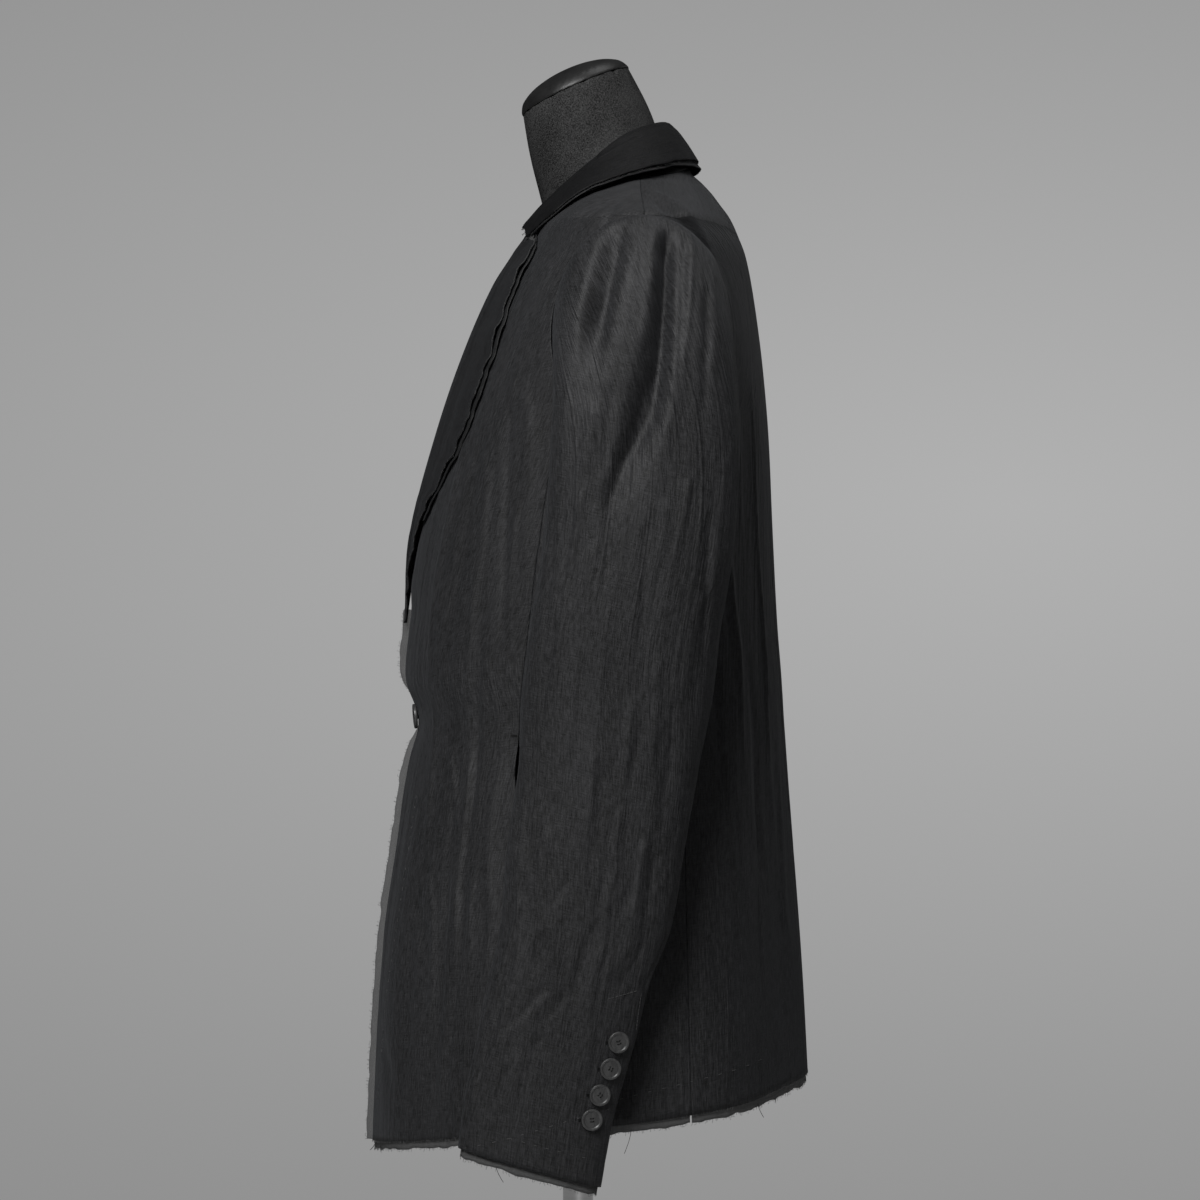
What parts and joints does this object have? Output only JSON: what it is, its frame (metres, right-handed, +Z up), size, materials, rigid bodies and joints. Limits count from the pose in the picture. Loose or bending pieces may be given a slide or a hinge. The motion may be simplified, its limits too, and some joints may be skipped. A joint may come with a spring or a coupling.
{
  "type": "tailored jacket on a dress form",
  "caption": "Black crinkled tailored jacket with raw edges and long sleeves, worn by a limbless dress form on a pole stand.",
  "frame": {"origin": "centre of the stand base's underside", "axes": "+Z up along the pole, -Y the way the wearer faces, +X the wearer's left"},
  "size_m": [0.547, 0.361, 1.3143],
  "materials": {
    "jacket_cloth": "crinkled silk and linen, faint sheen",
    "sheer_cloth": "sheer open weave, raw edge",
    "form_cloth": "matt plain weave",
    "cap": "gloss",
    "chrome": "polished chrome",
    "button": "satin"
  },
  "bodies": {
    "root": {"front_left": "jacket_cloth", "side_left": "jacket_cloth", "back_left": "jacket_cloth", "lapel_left": "jacket_cloth", "lapel_under_left": "jacket_cloth", "sleeve_top_left": "jacket_cloth", "sleeve_under_left": "jacket_cloth", "front_right": "jacket_cloth", "side_right": "jacket_cloth", "back_right": "jacket_cloth", "lapel_right": "jacket_cloth", "lapel_under_right": "jacket_cloth", "sleeve_top_right": "jacket_cloth", "sleeve_under_right": "jacket_cloth", "collar_upper": "jacket_cloth", "collar_under": "jacket_cloth", "sheer_front_left": "sheer_cloth", "sheer_cuff_left": "sheer_cloth", "sheer_hem_front_left": "sheer_cloth", "sheer_hem_side_left": "sheer_cloth", "sheer_hem_back_left": "sheer_cloth", "sheer_front_right": "sheer_cloth", "sheer_cuff_right": "sheer_cloth", "sheer_hem_front_right": "sheer_cloth", "sheer_hem_side_right": "sheer_cloth", "sheer_hem_back_right": "sheer_cloth", "button_front": "button", "button_cuff_left_1": "button", "button_cuff_left_2": "button", "button_cuff_left_3": "button", "button_cuff_left_4": "button", "button_cuff_right_1": "button", "button_cuff_right_2": "button", "button_cuff_right_3": "button", "button_cuff_right_4": "button", "form_body": "form_cloth", "neck_cap": "cap", "pole": "chrome", "pole_socket": "chrome", "base": "chrome"}
  },
  "joints": []
}
